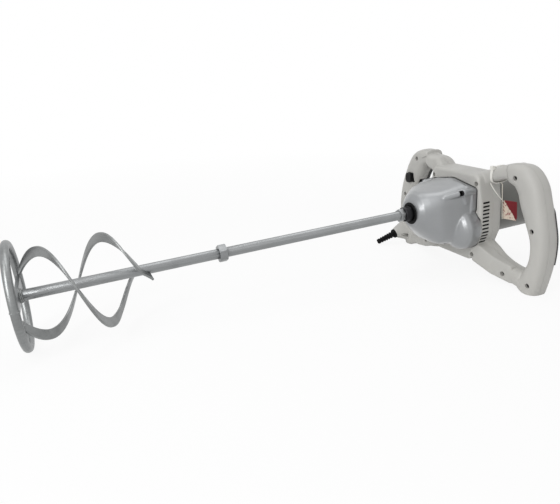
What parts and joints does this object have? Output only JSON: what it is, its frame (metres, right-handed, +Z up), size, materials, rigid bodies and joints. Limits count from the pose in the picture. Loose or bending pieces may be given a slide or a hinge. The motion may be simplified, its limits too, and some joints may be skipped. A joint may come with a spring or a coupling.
{
  "type": "mixing drill",
  "caption": "Hand held mixing drill with D-handles, a trigger, a long rod and a helical ribbon paddle with an end ring.",
  "frame": {"origin": "on the floor, under the middle of the machine's box as it lies at rest", "axes": "+X from the paddle's ring to the motor, +Y to the handle with the trigger, +Z up"},
  "size_m": [0.8268, 0.3422, 0.1875],
  "materials": {
    "frame_paint": "satin",
    "case_silver": "gloss",
    "motor_grey": "satin",
    "soft_grip": "matte",
    "black_plastic": "satin",
    "white_nylon": "satin",
    "black_rubber": "matte",
    "plated_steel": "satin",
    "dark_screw": "satin",
    "ground_steel": "satin",
    "cast_alloy": "satin",
    "lamination": "satin",
    "enamelled_copper": "gloss",
    "bare_copper": "satin",
    "holder_brass": "satin",
    "carbon": "matte",
    "grey_nylon": "satin",
    "tag_card": "satin"
  },
  "bodies": {
    "housing": {"frame_front_shell": "frame_paint", "frame_rear_shell": "frame_paint", "frame_screws": "dark_screw", "gear_case": "case_silver", "gear_case_screws": "dark_screw", "inner_bearing_plate": "cast_alloy", "gear_plate": "cast_alloy", "nose_seal": "black_rubber", "spindle_front_bearing": "ground_steel", "spindle_rear_bearing": "ground_steel", "layshaft_bearings": "ground_steel", "armature_front_bearing": "ground_steel", "armature_rear_bearing": "ground_steel", "motor_housing": "motor_grey", "motor_rear_cover": "motor_grey", "rear_cover_screws": "dark_screw", "stator_core": "lamination", "field_coils": "enamelled_copper", "brush_holders": "holder_brass", "carbon_brushes": "carbon", "brush_caps": "black_plastic", "air_baffle": "black_plastic", "vent_screens": "black_plastic", "near_grip_pad": "soft_grip", "far_grip_pad": "soft_grip", "switch_body": "black_plastic", "trigger_pin": "ground_steel", "speed_control_module": "black_plastic", "cord_clamp": "grey_nylon", "cord_gland": "black_rubber", "cord_sleeve": "black_rubber", "cable_tie": "white_nylon", "hang_tag": "tag_card"},
    "spindle": {"spindle": "plated_steel", "spindle_gear": "ground_steel", "spindle_circlip": "dark_screw", "upper_rod": "plated_steel", "coupling_nut": "plated_steel", "lower_rod": "plated_steel", "ribbon_a": "plated_steel", "ribbon_b": "plated_steel", "end_ring": "plated_steel", "ring_cross_bar": "plated_steel"},
    "layshaft": {"layshaft": "ground_steel", "layshaft_wheel": "ground_steel"},
    "armature": {"armature_shaft": "ground_steel", "armature_core": "lamination", "armature_winding": "enamelled_copper", "commutator": "bare_copper", "cooling_fan": "grey_nylon"},
    "trigger": {"trigger": "black_plastic"},
    "lock_button": {"lock_button": "black_plastic"},
    "speed_dial": {"speed_dial": "black_plastic"}
  },
  "joints": [
    {"name": "spindle_spin", "type": "hinge", "parent": "housing", "child": "spindle", "pos_m": [0.16477, 0, 0.10352], "axis": [0.9983, 0, 0.059], "continuous": true},
    {"name": "layshaft_spin", "type": "hinge", "parent": "housing", "child": "layshaft", "pos_m": [0.23146, -0.0314, 0.07694], "axis": [0.9983, 0, 0.059], "continuous": true},
    {"name": "armature_spin", "type": "hinge", "parent": "housing", "child": "armature", "pos_m": [0.3154, 0, 0.0974], "axis": [0.9983, 0, 0.059], "continuous": true},
    {"name": "trigger_pull", "type": "hinge", "parent": "housing", "child": "trigger", "pos_m": [0.27619, 0.14, 0.12513], "axis": [0.9983, 0, 0.059], "range_deg": [0, 8], "stiffness_Nm_per_rad": 1.2, "springref_deg": -6.88},
    {"name": "lock_press", "type": "slide", "parent": "housing", "child": "lock_button", "axis": [0.9983, 0, 0.059], "range_m": [0, 0.0018], "stiffness_N_per_m": 600, "springref_m": -0.001},
    {"name": "dial_turn", "type": "hinge", "parent": "housing", "child": "speed_dial", "pos_m": [0.28811, 0.1225, 0.12684], "axis": [-0.059, 0, 0.9983], "range_deg": [-135, 135]}
  ],
  "couplings": [
    {"joint": "layshaft_spin", "follows": "spindle_spin", "ratio": -2.8462},
    {"joint": "armature_spin", "follows": "spindle_spin", "ratio": 19.923}
  ]
}
